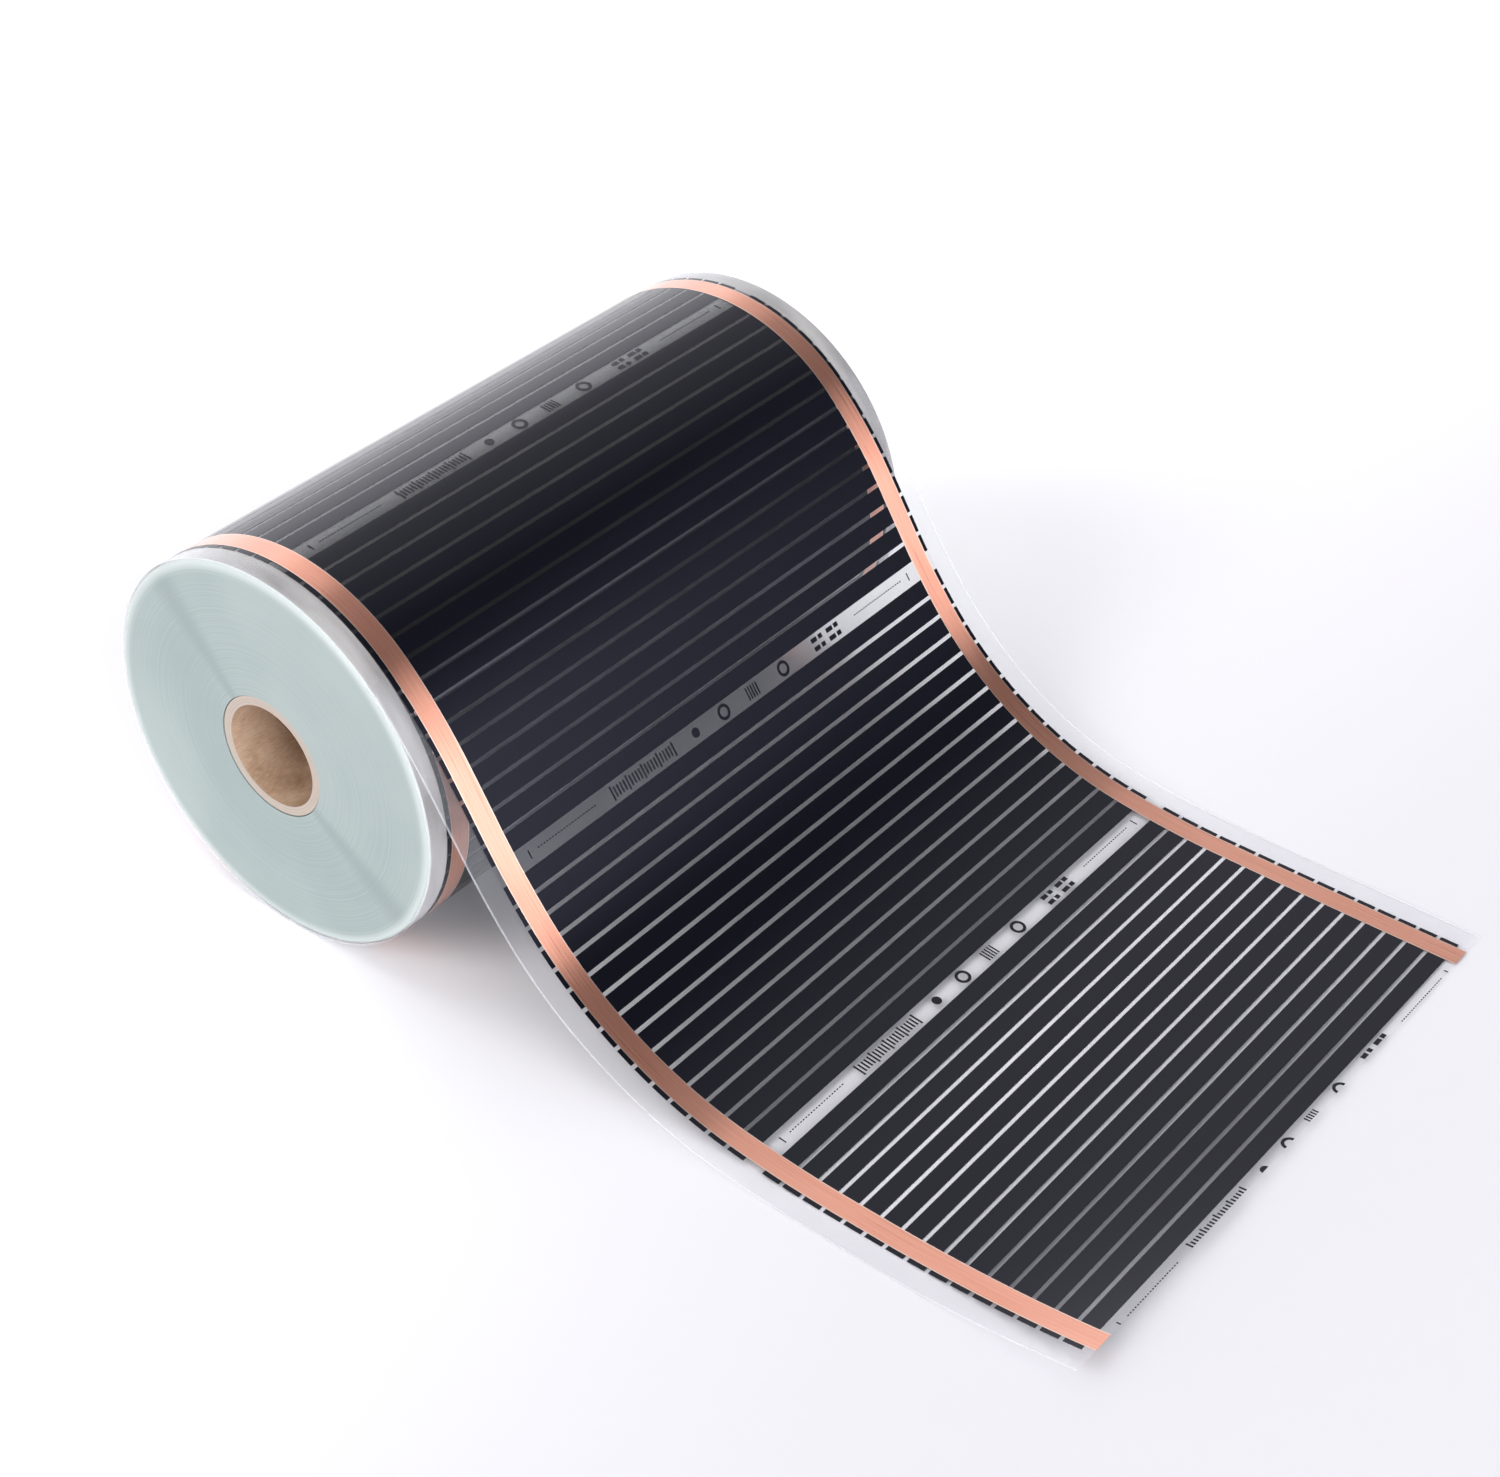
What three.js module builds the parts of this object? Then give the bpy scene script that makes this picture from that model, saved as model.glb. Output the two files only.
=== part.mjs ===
// Roll of carbon heating film on its cardboard core, with a free length run out to the floor.
// Millimetres, +Z up. The film runs along X, the core lies along Y, and the part stands on z = 0.
import * as THREE from 'three';

// Film
const filmWidth = 500;
const webThickness = 0.24; // the clear web, without what is printed on it
const carbonThickness = 0.1;
const copperThickness = 0.1;

// Pattern along the film
const stripesPerSection = 15;
const stripeWidth = 13;
const stripeGap = 2.85;
const bandWidth = 15.1; // clear marking band between two sections
const freeSections = 3; // whole sections from the top of the roll to the cut end
const woundStripes = 10; // further stripes that lie on top of the roll, before the first free section

// Pattern across the film
const copperWidth = 16;
const copperInset = 20.5; // from the film's edge to the copper's outer edge
const stripeReach = 3.5; // how far the stripes' ends show outside the copper

// Roll and core
const rollRadius = 144;
const boreRadius = 38.1; // a 3 inch core
const coreWall = 6.9;
const coreClearance = 0.3; // between the core and the innermost turn
const coreSetback = 1; // each end of the core inside the roll's end

// Side profile of the free length, in degrees below level
const patternAngle = 6.3; // where on the roll, from its top, the first free section starts
const leaveAngle = 45; // where the film leaves the roll
const steepAngle = 58;
const leaveBend = 330; // radius of the bend after the roll
const landingBends = [ // bends that bring the film level, each down to an angle at a radius
  { toAngle: 51, radius: 500 },
  { toAngle: 8, radius: 255 },
  { toAngle: 0, radius: 610 },
];

// Facets
const facetsPerStripe = 2;
const rollFacet = 7; // length of a facet on the rest of the outer turn
const coreFacets = 96;

const rad = Math.PI / 180;
const turnStep = webThickness + carbonThickness; // what the roll's radius gains in a turn
const leaveTurn = leaveAngle * rad;
const stripePitch = stripeWidth + stripeGap;
const sectionLength = stripesPerSection * stripePitch - stripeGap + bandWidth; // 250, the cut interval

// Lengths along the film are counted from where the first free section's stripes start.
const leaveLength = rollRadius * (leaveAngle - patternAngle) * rad;
const turnLength = 2 * Math.PI * rollRadius;
const turnStart = leaveLength - turnLength;

// Start of each stripe, from the wound ones to the cut end
function stripeStarts() {
  const starts = [];
  for (let k = woundStripes; k > 0; k--) {
    starts.push(-bandWidth + stripeGap - k * stripePitch);
  }
  for (let section = 0; section < freeSections; section++) {
    for (let k = 0; k < stripesPerSection; k++) {
      starts.push(section * sectionLength + k * stripePitch);
    }
  }
  return starts;
}

const starts = stripeStarts();
const cutEnd = freeSections * sectionLength - bandWidth / 2; // the cut runs through a marking band

// Radius of the wound film's outer face at an angle from the top of the roll
function woundRadius(angle) {
  return rollRadius - turnStep * (leaveTurn - angle) / (2 * Math.PI);
}

function woundAngle(length) {
  return leaveTurn - (leaveLength - length) / rollRadius;
}

// The free length as bends and one straight run, each with its start and its angles below level.
function freeRuns(centreHeight) {
  const bends = [{ from: leaveAngle, to: steepAngle, radius: leaveBend }];
  let from = steepAngle;
  for (const { toAngle, radius } of landingBends) {
    bends.push({ from, to: toAngle, radius });
    from = toAngle;
  }
  const drop = ({ from: a, to: b, radius }) => radius * Math.abs(Math.cos(a * rad) - Math.cos(b * rad));
  const bendDrop = bends.reduce((sum, bend) => sum + drop(bend), 0);
  const start = new THREE.Vector2(rollRadius * Math.sin(leaveTurn), centreHeight + rollRadius * Math.cos(leaveTurn));
  const straight = (start.y - webThickness - bendDrop) / Math.sin(steepAngle * rad);
  const runs = [bends[0], { from: steepAngle, to: steepAngle, length: straight }, ...bends.slice(1)];
  let length = leaveLength;
  let point = start;
  for (const run of runs) {
    run.start = length;
    run.point = point;
    run.length ??= run.radius * Math.abs(run.to - run.from) * rad;
    length += run.length;
    point = alongRun(run, run.length).point;
  }
  runs.push({ from: 0, to: 0, start: length, point, length: cutEnd - length });
  return runs;
}

// Point and angle below level at a distance into one run
function alongRun(run, distance) {
  const a = run.from * rad;
  if (run.from === run.to) {
    return {
      angle: a,
      point: new THREE.Vector2(run.point.x + distance * Math.cos(a), run.point.y - distance * Math.sin(a)),
    };
  }
  const sign = Math.sign(run.to - run.from);
  const b = a + sign * distance / run.radius;
  const dx = run.radius * sign * (Math.sin(b) - Math.sin(a));
  const dz = run.radius * sign * (Math.cos(b) - Math.cos(a));
  return { angle: b, point: new THREE.Vector2(run.point.x + dx, run.point.y + dz) };
}

// Lengths at which the film's outline has a corner
function stations() {
  const list = [];
  const firstStripe = starts[0];
  const facets = Math.ceil((firstStripe - turnStart) / rollFacet);
  for (let i = 0; i < facets; i++) {
    list.push(turnStart + (firstStripe - turnStart) * i / facets);
  }
  for (const start of starts) {
    for (let i = 0; i <= facetsPerStripe; i++) {
      list.push(start + stripeWidth * i / facetsPerStripe);
    }
  }
  for (let section = 0; section < freeSections; section++) {
    list.push(section * sectionLength - bandWidth / 2);
  }
  list.push(leaveLength, cutEnd);
  list.sort((a, b) => a - b);
  return list.filter((value, i) => i === 0 || value - list[i - 1] > 0.5 || value === cutEnd);
}

const stops = stations();
const woundStops = stops.filter((length) => length <= leaveLength);
const centreHeight = Math.max(...woundStops.map((length) => {
  const angle = woundAngle(length);
  return -woundRadius(angle) * Math.cos(angle);
}));
const runs = freeRuns(centreHeight);

// Point on the web's outer face, lifted off it by a height
function filmPoint(length, height = 0) {
  if (length <= leaveLength) {
    const angle = woundAngle(length);
    const r = woundRadius(angle) + height;
    return new THREE.Vector2(r * Math.sin(angle), centreHeight + r * Math.cos(angle));
  }
  const run = runs.find(({ start, length: span }) => length <= start + span) ?? runs[runs.length - 1];
  const { angle, point } = alongRun(run, length - run.start);
  return new THREE.Vector2(point.x + height * Math.sin(angle), point.y + height * Math.cos(angle));
}

// The outer turn, the free length, and back along its underside to the roll
function filmOutline() {
  const top = stops.map((length) => filmPoint(length));
  const freeStops = stops.filter((length) => length >= woundStops[woundStops.length - 1]);
  const underside = freeStops.map((length) => filmPoint(length, -webThickness)).reverse();
  return [...top, ...underside];
}

const outline = filmOutline();
const xs = outline.map(({ x }) => x);
const originShift = -(Math.min(...xs) + Math.max(...xs)) / 2; // puts the origin under the middle of the part

function circlePoints(radius) {
  const points = [];
  for (let i = 0; i < coreFacets; i++) {
    const angle = 2 * Math.PI * i / coreFacets;
    points.push(new THREE.Vector2(radius * Math.sin(angle), centreHeight + radius * Math.cos(angle)));
  }
  return points;
}

// A side outline drawn in X and Z, made solid between two places along Y
function prism(points, holes, fromY, toY) {
  const shift = ({ x, y }) => new THREE.Vector2(x + originShift, y);
  const shape = new THREE.Shape(points.map(shift));
  for (const hole of holes) {
    shape.holes.push(new THREE.Path(hole.map(shift).reverse())); // a hole runs the other way round
  }
  const solid = new THREE.ExtrudeGeometry(shape, { depth: toY - fromY, bevelEnabled: false });
  solid.rotateX(Math.PI / 2); // drawn Y becomes Z, and the depth runs along -Y
  solid.translate(0, toY, 0);
  return solid;
}

// A thin layer on the film between two heights over the web
function layer(from, to, low, high, fromY, toY) {
  const span = stops.filter((length) => length >= from - 1e-6 && length <= to + 1e-6);
  const top = span.map((length) => filmPoint(length, high));
  const bottom = span.map((length) => filmPoint(length, low)).reverse();
  return prism([...top, ...bottom], [], fromY, toY);
}

const clearFilm = { color: 0xdfe3e4, roughness: 0.15, metalness: 0 };
const carbonInk = { color: 0x1c1c20, roughness: 0.3, metalness: 0 };
const copperFoil = { color: 0xd9977c, roughness: 0.35, metalness: 1 };
const kraftBoard = { color: 0xb08d6c, roughness: 0.9, metalness: 0 };

const part = new THREE.Group();

function addPiece(name, geometry, finish) {
  const piece = new THREE.Mesh(geometry, new THREE.MeshStandardMaterial(finish));
  piece.name = name;
  part.add(piece);
}

// Core
const coreRadius = boreRadius + coreWall;
const coreEnd = filmWidth / 2 - coreSetback;
addPiece('core_tube', prism(circlePoints(coreRadius), [circlePoints(boreRadius)], -coreEnd, coreEnd), kraftBoard);

// Film: the wound roll and its free length are one web
const filmBore = circlePoints(coreRadius + coreClearance);
addPiece('heating_film', prism(outline, [filmBore], -filmWidth / 2, filmWidth / 2), clearFilm);

// Carbon stripes across the film, from copper to copper and a little past them
const stripeEnd = filmWidth / 2 - copperInset + stripeReach;
starts.forEach((start, i) => {
  const name = `carbon_stripe_${String(i + 1).padStart(2, '0')}`;
  addPiece(name, layer(start, start + stripeWidth, 0, carbonThickness, -stripeEnd, stripeEnd), carbonInk);
});

// Copper strips along both edges, on top of the stripes' ends
const copperOuter = filmWidth / 2 - copperInset;
const copperInner = copperOuter - copperWidth;
const copperLow = carbonThickness;
const copperHigh = carbonThickness + copperThickness;
addPiece('copper_strip_near', layer(starts[0], cutEnd, copperLow, copperHigh, -copperOuter, -copperInner), copperFoil);
addPiece('copper_strip_far', layer(starts[0], cutEnd, copperLow, copperHigh, copperInner, copperOuter), copperFoil);

export default part;
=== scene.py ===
# Looks for a roll of carbon heating film with its free length run out to the floor. Metres, +Z up.
# The film is modelled flat, with x as the length along it, and is then bent along its side path.
import math
import random
import bpy
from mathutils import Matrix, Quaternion, Vector


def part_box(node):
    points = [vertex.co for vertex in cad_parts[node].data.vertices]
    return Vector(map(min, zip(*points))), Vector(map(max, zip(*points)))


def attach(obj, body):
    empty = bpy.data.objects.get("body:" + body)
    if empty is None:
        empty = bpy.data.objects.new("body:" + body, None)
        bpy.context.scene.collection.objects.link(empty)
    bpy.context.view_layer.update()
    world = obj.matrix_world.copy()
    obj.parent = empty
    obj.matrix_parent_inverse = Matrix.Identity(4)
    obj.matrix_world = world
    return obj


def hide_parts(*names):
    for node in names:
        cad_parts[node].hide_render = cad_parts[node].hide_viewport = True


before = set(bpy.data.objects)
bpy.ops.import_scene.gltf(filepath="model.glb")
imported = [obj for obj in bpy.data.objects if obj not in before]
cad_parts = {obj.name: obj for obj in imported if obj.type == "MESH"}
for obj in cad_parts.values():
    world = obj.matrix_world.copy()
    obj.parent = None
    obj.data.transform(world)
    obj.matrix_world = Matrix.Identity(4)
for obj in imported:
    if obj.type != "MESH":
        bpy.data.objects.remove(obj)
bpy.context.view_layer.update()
mm = 0.001
dice = random.Random(7)


# Small helpers

def freshSelection(*things):
    if bpy.context.object and bpy.context.object.mode != "OBJECT":
        bpy.ops.object.mode_set(mode="OBJECT")
    bpy.ops.object.select_all(action="DESELECT")
    for thing in things:
        thing.select_set(True)
    if things:
        bpy.context.view_layer.objects.active = things[0]


def applyModifiers(piece):
    freshSelection(piece)
    for modifier in list(piece.modifiers):
        bpy.ops.object.modifier_apply(modifier=modifier.name)


def addModifier(piece, kind, **settings):
    modifier = piece.modifiers.new(kind.lower(), kind)
    for name, value in settings.items():
        setattr(modifier, name, value)
    applyModifiers(piece)


def selectWhere(piece, mode, test):
    # leaves the piece in edit mode, with what passes the test selected
    freshSelection(piece)
    bpy.ops.object.mode_set(mode="EDIT")
    bpy.ops.mesh.select_mode(type=mode)
    bpy.ops.mesh.select_all(action="DESELECT")
    bpy.ops.object.mode_set(mode="OBJECT")
    points = piece.data.vertices
    if mode == "VERT":
        for vertex in points:
            vertex.select = test(vertex.co)
    else:
        for edge in piece.data.edges:
            edge.select = all(test(points[i].co) for i in edge.vertices)
    bpy.ops.object.mode_set(mode="EDIT")


def joined(name, parts):
    freshSelection(*parts)
    if len(parts) > 1:
        bpy.ops.object.join()
    whole = bpy.context.object
    whole.name = name
    whole.data.name = name
    return whole


# The film's side path

film = {
    "rollRadius": 144 * mm,
    "webThickness": 0.24 * mm,
    "turnStep": 0.34 * mm,
    "patternAngle": 6.3,       # degrees from the roll's top to where the first free section starts
    "leaveAngle": 45,
    "steepAngle": 58,
    "leaveBend": 330 * mm,
    "landingBends": ((51, 500 * mm), (8, 255 * mm), (0, 610 * mm)),
    "sectionLength": 250 * mm,
    "bandWidth": 15.1 * mm,
    "freeSections": 3,
    "pathStep": 1 * mm,
    "startTrim": 1 * mm,       # the print starts this far inside the outer turn
    "creaseAngle": 30,         # degrees up to which the bent film is shaded smooth
}

coreLow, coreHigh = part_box("core_tube")
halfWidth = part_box("heating_film")[1].y
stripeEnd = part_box("carbon_stripe_01")[1].y
rollCentre = Vector(((coreLow.x + coreHigh.x) / 2, 0, (coreLow.z + coreHigh.z) / 2))
leaveTurn = math.radians(film["leaveAngle"])
leaveLength = film["rollRadius"] * (leaveTurn - math.radians(film["patternAngle"]))
turnStart = leaveLength - 2 * math.pi * film["rollRadius"]
cutEnd = film["freeSections"] * film["sectionLength"] - film["bandWidth"] / 2


def alongRun(run, distance):
    # point and angle below level at a distance into a bend or a straight run
    a = run["from"]
    x, z = run["point"]
    if run["from"] == run["to"]:
        return (x + distance * math.cos(a), z - distance * math.sin(a)), a
    sign = 1 if run["to"] > a else -1
    b = a + sign * distance / run["radius"]
    dx = run["radius"] * sign * (math.sin(b) - math.sin(a))
    dz = run["radius"] * sign * (math.cos(b) - math.cos(a))
    return (x + dx, z + dz), b


def freeRuns():
    # a bend off the roll, a straight run, the bends that bring the film level, and its flat end
    steep = math.radians(film["steepAngle"])
    bends = [{"from": leaveTurn, "to": steep, "radius": film["leaveBend"]}]
    for toAngle, radius in film["landingBends"]:
        bends.append({"from": bends[-1]["to"], "to": math.radians(toAngle), "radius": radius})
    bendDrop = sum(b["radius"] * abs(math.cos(b["from"]) - math.cos(b["to"])) for b in bends)
    startX = rollCentre.x + film["rollRadius"] * math.sin(leaveTurn)
    startZ = rollCentre.z + film["rollRadius"] * math.cos(leaveTurn)
    straight = (startZ - film["webThickness"] - bendDrop) / math.sin(steep)
    runs = [bends[0], {"from": steep, "to": steep, "length": straight}] + bends[1:]
    length, point = leaveLength, (startX, startZ)
    for run in runs:
        run["start"], run["point"] = length, point
        if "length" not in run:
            run["length"] = run["radius"] * abs(run["to"] - run["from"])
        length += run["length"]
        point = alongRun(run, run["length"])[0]
    runs.append({"from": 0, "to": 0, "start": length, "point": point, "length": cutEnd - length})
    return runs


filmRuns = freeRuns()


def filmPoint(length):
    # point on the clear web's outer face, seen from the side
    if length <= leaveLength:
        angle = leaveTurn - (leaveLength - length) / film["rollRadius"]
        radius = film["rollRadius"] - film["turnStep"] * (leaveTurn - angle) / (2 * math.pi)
        return rollCentre.x + radius * math.sin(angle), rollCentre.z + radius * math.cos(angle)
    run = next((r for r in filmRuns if length <= r["start"] + r["length"]), filmRuns[-1])
    return alongRun(run, length - run["start"])[0]


def layPath():
    # a curve along the film, which flat pieces are bent to
    count = round((cutEnd - turnStart) / film["pathStep"])
    data = bpy.data.curves.new("filmPath", "CURVE")
    data.dimensions = "3D"
    data.twist_mode = "MINIMUM"
    line = data.splines.new("POLY")
    line.points.add(count)
    travelled, last = 0, None
    for i, point in enumerate(line.points):
        x, z = filmPoint(turnStart + (cutEnd - turnStart) * i / count)
        if last:
            travelled += math.hypot(x - last[0], z - last[1])
        last = (x, z)
        point.co = (x, 0, z, 1)
    path = bpy.data.objects.new("filmPath", data)
    bpy.context.scene.collection.objects.link(path)
    return path, travelled


filmPath, pathLength = layPath()
flatStart = cutEnd - pathLength   # exact on the free length, and within 0.1 mm on top of the roll

slack = {
    "nearLift": 14.5 * mm,     # the cut end's near corner curls up off the floor
    "farLift": 1 * mm,
    "liftFrom": 590 * mm,      # length at which the film starts to lift again
    "waveFrom": 160 * mm,
    "waveHeight": 0.9 * mm,    # in the clear margins
    "waveLength": 170 * mm,
    "waveMargin": 17 * mm,
    "waveFade": 80 * mm,       # over which the waves set in
    "farWaveShift": 2,         # radians between the two margins' waves
    "curlPower": 1.5,          # how the lift gathers towards the near corner
}


def settle(piece):
    # lifts the cut end a little and lets the free margins waver
    waveX = filmPoint(slack["waveFrom"])[0]
    liftX = filmPoint(slack["liftFrom"])[0]
    endX = filmPoint(cutEnd)[0]
    for vertex in piece.data.vertices:
        x, y, z = vertex.co
        if x < waveX:
            continue
        share = max(0, (x - liftX) / (endX - liftX))
        nearness = max(0, halfWidth - y) / (2 * halfWidth)
        curl = nearness ** slack["curlPower"]
        lift = slack["farLift"] + (slack["nearLift"] - slack["farLift"]) * curl
        margin = max(0, 1 - (halfWidth - abs(y)) / slack["waveMargin"])
        fadeIn = min(1, (x - waveX) / slack["waveFade"])
        shift = slack["farWaveShift"] if y > 0 else 0
        wave = 1 + math.sin(2 * math.pi * x / slack["waveLength"] + shift)
        vertex.co.z += lift * share ** 2 + slack["waveHeight"] * fadeIn * margin ** 2 * wave / 2


def markFlat(piece):
    # keeps each point's place on the flat film, in metres, as the UV map
    layers = piece.data.uv_layers
    layer = layers[0] if layers else layers.new(name="filmPlace")
    layer.name = "filmPlace"
    for loop in piece.data.loops:
        place = piece.data.vertices[loop.vertex_index].co
        layer.data[loop.index].uv = (place.x, place.y)


def windOn(piece):
    markFlat(piece)
    for vertex in piece.data.vertices:
        vertex.co.x -= flatStart
    addModifier(piece, "CURVE", object=filmPath, deform_axis="POS_X")
    settle(piece)
    bpy.ops.object.shade_smooth_by_angle(angle=math.radians(film["creaseAngle"]))


def flatStrip(name, fromX, toX, fromY, toY, topZ, thickness, piecesX, piecesY=1):
    # a flat closed strip: a grid, sized in edit mode and given its thickness below the top
    freshSelection()
    bpy.ops.mesh.primitive_grid_add(x_subdivisions=piecesX, y_subdivisions=piecesY, size=1)
    strip = bpy.context.object
    strip.name = name
    bpy.ops.object.mode_set(mode="EDIT")
    bpy.ops.mesh.select_all(action="SELECT")
    bpy.ops.transform.resize(value=(toX - fromX, toY - fromY, 1))
    bpy.ops.transform.translate(value=((fromX + toX) / 2, (fromY + toY) / 2, topZ))
    bpy.ops.object.mode_set(mode="OBJECT")
    addModifier(strip, "SOLIDIFY", thickness=thickness, offset=-1)
    return strip


def repeated(piece, count, step):
    addModifier(piece, "ARRAY", count=count, use_relative_offset=False, use_constant_offset=True,
                constant_offset_displace=step)


def trimmed(piece, fromX, toX):
    # takes away what lies before and after two places on the flat film
    freshSelection(piece)
    for place, before in ((fromX, True), (toX, False)):
        bpy.ops.object.mode_set(mode="EDIT")
        bpy.ops.mesh.select_all(action="SELECT")
        bpy.ops.mesh.bisect(plane_co=(place, 0, 0), plane_no=(1, 0, 0), use_fill=True,
                            clear_inner=before, clear_outer=not before)
        bpy.ops.object.mode_set(mode="OBJECT")


def dress(piece, slotName, materials, *nodes):
    # gives a finished piece its materials and its body, and hides the CAD nodes that it stands for
    piece.data.materials.clear()
    for material in materials:
        piece.data.materials.append(material)
    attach(piece, "root")
    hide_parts(*nodes)


# Material helpers

def colour(code):
    # sRGB hex to linear
    parts = [int(code[i:i + 2], 16) / 255 for i in (1, 3, 5)]
    return tuple(c / 12.92 if c <= 0.04045 else ((c + 0.055) / 1.055) ** 2.4 for c in parts) + (1,)


def addNode(tree, kind, inputs=(), **settings):
    # adds a node with its links and returns its outputs; each input, by its name or in its order, is a
    # value, a hex colour, or the socket that feeds it (a Mix takes two colours as 6 and 7, and gives 2)
    node = tree.nodes.new("ShaderNode" + kind)
    for name, value in settings.items():
        setattr(node, name, value)
    for place, value in inputs.items() if isinstance(inputs, dict) else enumerate(inputs):
        if isinstance(value, bpy.types.NodeSocket):
            tree.links.new(value, node.inputs[place])
        else:
            node.inputs[place].default_value = colour(value) if isinstance(value, str) else value
    return node.outputs


noiseRange = (0.3, 0.7)        # nearly all of a noise lies between these
mixedRange = (0.38, 0.62)      # and of two noises mixed, between these


def startMaterial(name):
    material = bpy.data.materials.new(name)
    material.use_nodes = True
    material.node_tree.nodes.clear()
    return material, material.node_tree


def flatPlace(tree, stepX, stepY):
    # the place on the flat film, with 1 for each pattern step along and across it
    place = addNode(tree, "UVMap", uv_map="filmPlace")["UV"]
    return addNode(tree, "Mapping", {"Vector": place, "Scale": (1 / stepX, 1 / stepY, 1)})["Vector"]


def rollPlace(tree):
    # the place from the roll's middle, and how far it is along the axis, away from it and round it
    place = addNode(tree, "TexCoord")["Object"]
    centred = addNode(tree, "Mapping", {"Vector": place, "Location": -rollCentre})["Vector"]
    axes = addNode(tree, "SeparateXYZ", (centred,))
    side = addNode(tree, "CombineXYZ", {"X": axes["X"], "Z": axes["Z"]})["Vector"]
    radius = addNode(tree, "VectorMath", (side,), operation="LENGTH")["Value"]
    angle = addNode(tree, "Math", (axes["X"], axes["Z"]), operation="ARCTAN2")["Value"]
    return {"place": centred, "along": axes["Y"], "radius": radius, "angle": angle}


# Clear film: the outer turn and the free length

web = {"stepAlong": 3 * mm, "piecesAcross": 60}

clearFinish = {
    "tint": "#F2F4F9",
    "roughness": 0.08,
    "mirrorShare": 0.96,       # of what isn't see-through, the part that mirrors; the rest is haze
    "edgeDulling": 0.2,        # less mirror along the sealed edge
    "haze": 0.065,             # opacity of each face, seen straight on
    "hazeClouds": (0.8, 1.2),  # what the haze varies between
    "marginHaze": 0.06,        # outside the stripes, where the two sheets are bonded to each other
    "marginMirrorShare": 0.35,
    "marginFade": 1 * mm,
    "edgeHaze": 0.22,          # the sealed edge is milkier
    "edgeWidth": 1.6 * mm,
    "edgeFade": 0.4 * mm,
    "grazing": 0.8,            # opacity gained at the lowest angles
    "grazingPower": 4,
    "slackSize": 60 * mm,
    "slackHeight": 0.03 * mm,
}


def makeClearFilm():
    # Stretched polyester, two sheets laminated: see-through, with a mirror gloss on both faces that grows at
    # low angles, and a little milkier outside the stripes and along its sealed edges.
    material, tree = startMaterial("clearPolyester")
    place = addNode(tree, "UVMap", uv_map="filmPlace")["UV"]
    across = addNode(tree, "SeparateXYZ", (place,))["Y"]
    fromMiddle = addNode(tree, "Math", (across,), operation="ABSOLUTE")["Value"]
    edgeStart = halfWidth - clearFinish["edgeWidth"]
    edge = addNode(tree, "MapRange", (fromMiddle, edgeStart, edgeStart + clearFinish["edgeFade"]))["Result"]
    margin = addNode(tree, "MapRange", (
        fromMiddle, stripeEnd, stripeEnd + clearFinish["marginFade"]))["Result"]
    filmHaze = addNode(tree, "MapRange", (
        margin, 0, 1, clearFinish["haze"], clearFinish["marginHaze"]))["Result"]
    sealHaze = addNode(tree, "Math", (edge, clearFinish["edgeHaze"]), operation="MULTIPLY")["Value"]
    haze = addNode(tree, "Math", (filmHaze, sealHaze), operation="MAXIMUM")["Value"]
    filmMirror = addNode(tree, "MapRange", (
        margin, 0, 1, clearFinish["mirrorShare"], clearFinish["marginMirrorShare"]))["Result"]
    dulling = addNode(tree, "Math", (edge, clearFinish["edgeDulling"]), operation="MULTIPLY")["Value"]
    mirror = addNode(tree, "Math", (filmMirror, dulling), operation="SUBTRACT")["Value"]
    slackPlace = flatPlace(tree, clearFinish["slackSize"], clearFinish["slackSize"])
    cloud = addNode(tree, "TexNoise", {"Vector": slackPlace, "Scale": 1, "Detail": 3})["Fac"]
    clouds = addNode(tree, "MapRange", (cloud, *noiseRange, *clearFinish["hazeClouds"]))["Result"]
    haze = addNode(tree, "Math", (haze, clouds), operation="MULTIPLY")["Value"]
    facing = addNode(tree, "LayerWeight", {"Blend": 0.5})["Facing"]
    lowness = addNode(tree, "Math", (facing, clearFinish["grazingPower"]), operation="POWER")["Value"]
    grazing = addNode(tree, "Math", (lowness, clearFinish["grazing"]), operation="MULTIPLY")["Value"]
    opacity = addNode(tree, "Math", (haze, grazing), operation="ADD")["Value"]
    relief = addNode(tree, "Bump", {"Height": cloud, "Distance": clearFinish["slackHeight"]})["Normal"]
    shader = addNode(tree, "BsdfPrincipled", {
        "Base Color": clearFinish["tint"], "Roughness": clearFinish["roughness"], "Metallic": mirror,
        "Alpha": opacity, "Normal": relief})["BSDF"]
    addNode(tree, "OutputMaterial", (shader,))
    return material


def makeWeb():
    pieces = round((cutEnd - turnStart) / web["stepAlong"])
    strip = flatStrip("clearFilm", turnStart, cutEnd, -halfWidth, halfWidth, 0, film["webThickness"],
                      pieces, web["piecesAcross"])
    windOn(strip)
    dress(strip, "clear_film", [makeClearFilm()], "heating_film")


# Carbon stripes

stripes = {
    "perSection": 15,
    "width": 13 * mm,
    "gap": 2.85 * mm,
    "thickness": 0.1 * mm,
    "piecesAlong": 6,
    "piecesAcross": 40,
    "sectionsBefore": 4,       # sections wound on before the first free one
}

inkFinish = {
    "dark": "#07080F",
    "light": "#0E0E16",
    "gloss": "#E9E9FB",        # its reflections are a little bluer than what they show
    "ior": 1.57,
    "roughness": (0.11, 0.17),
    "screen": 1.2 * mm,        # mottle from the printing screen, drawn coarser than it is, to show
    "slackSize": (70 * mm, 112 * mm),
    "slackHeight": 0.07 * mm,
}


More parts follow.
